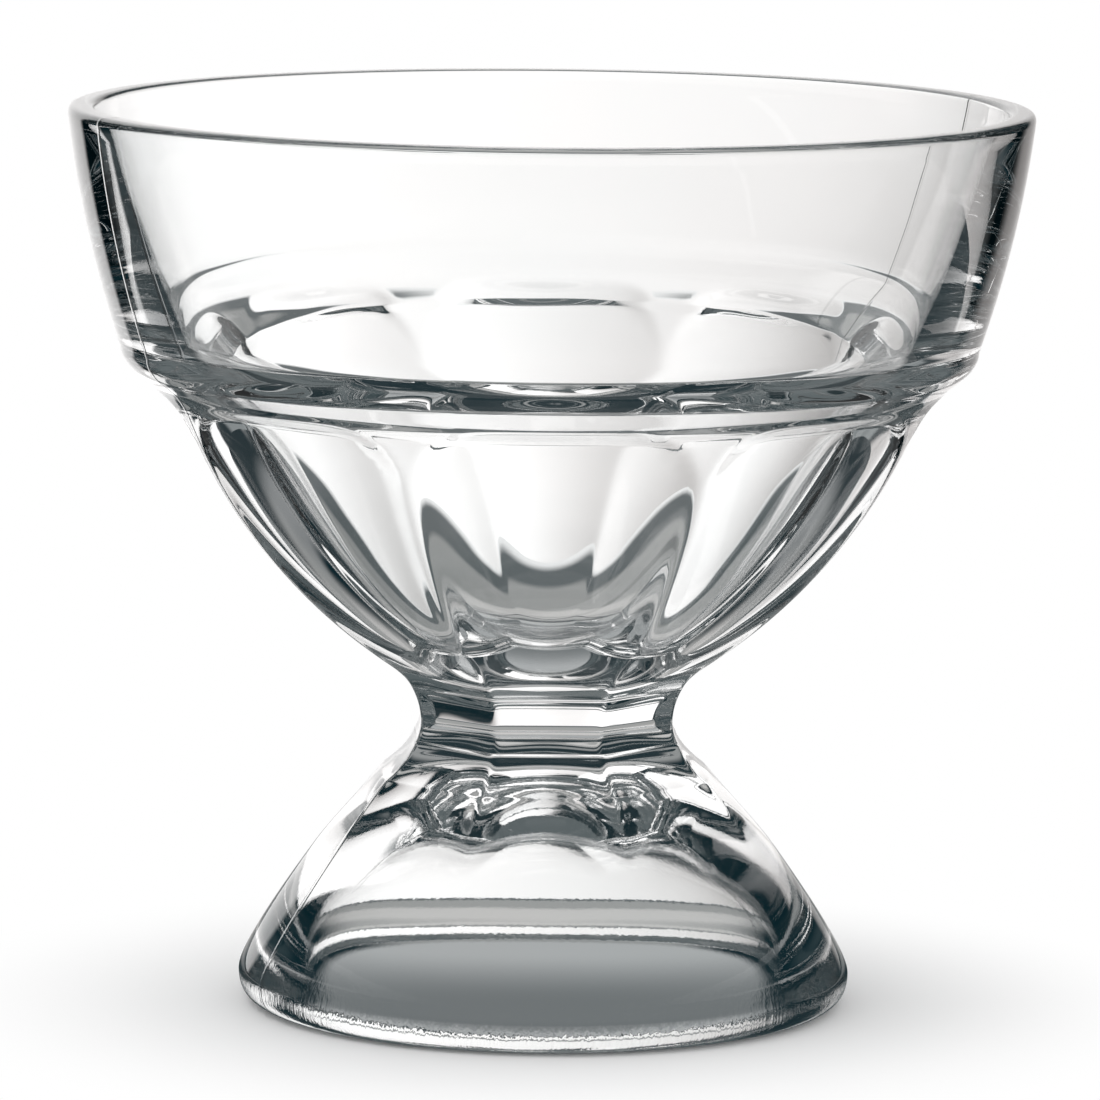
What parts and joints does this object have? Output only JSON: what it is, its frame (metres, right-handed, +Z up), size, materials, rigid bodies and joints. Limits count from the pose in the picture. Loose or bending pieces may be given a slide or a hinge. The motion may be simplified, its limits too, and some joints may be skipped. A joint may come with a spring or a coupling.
{
  "type": "sundae glass",
  "caption": "Footed sundae glass in thick clear pressed glass, with a flared bowl, a stepped band over shallow flutes, a short faceted stem and a hollow domed foot.",
  "frame": {"origin": "centre of the resting ring under the foot, on the table", "axes": "+Z up along the glass's axis towards the rim, -Y through the middle of one panel, which faces the camera in the picture, +X to that viewer's right"},
  "size_m": [0.105, 0.105, 0.0985],
  "materials": {
    "bowl_glass": "fire-polished clear pressed glass",
    "stem_glass": "fire-polished clear pressed glass",
    "foot_glass": "fire-polished clear pressed glass, lightly grained inside the hollow"
  },
  "bodies": {
    "root": {"bowl": "bowl_glass", "stem": "stem_glass", "foot": "foot_glass"}
  },
  "joints": []
}
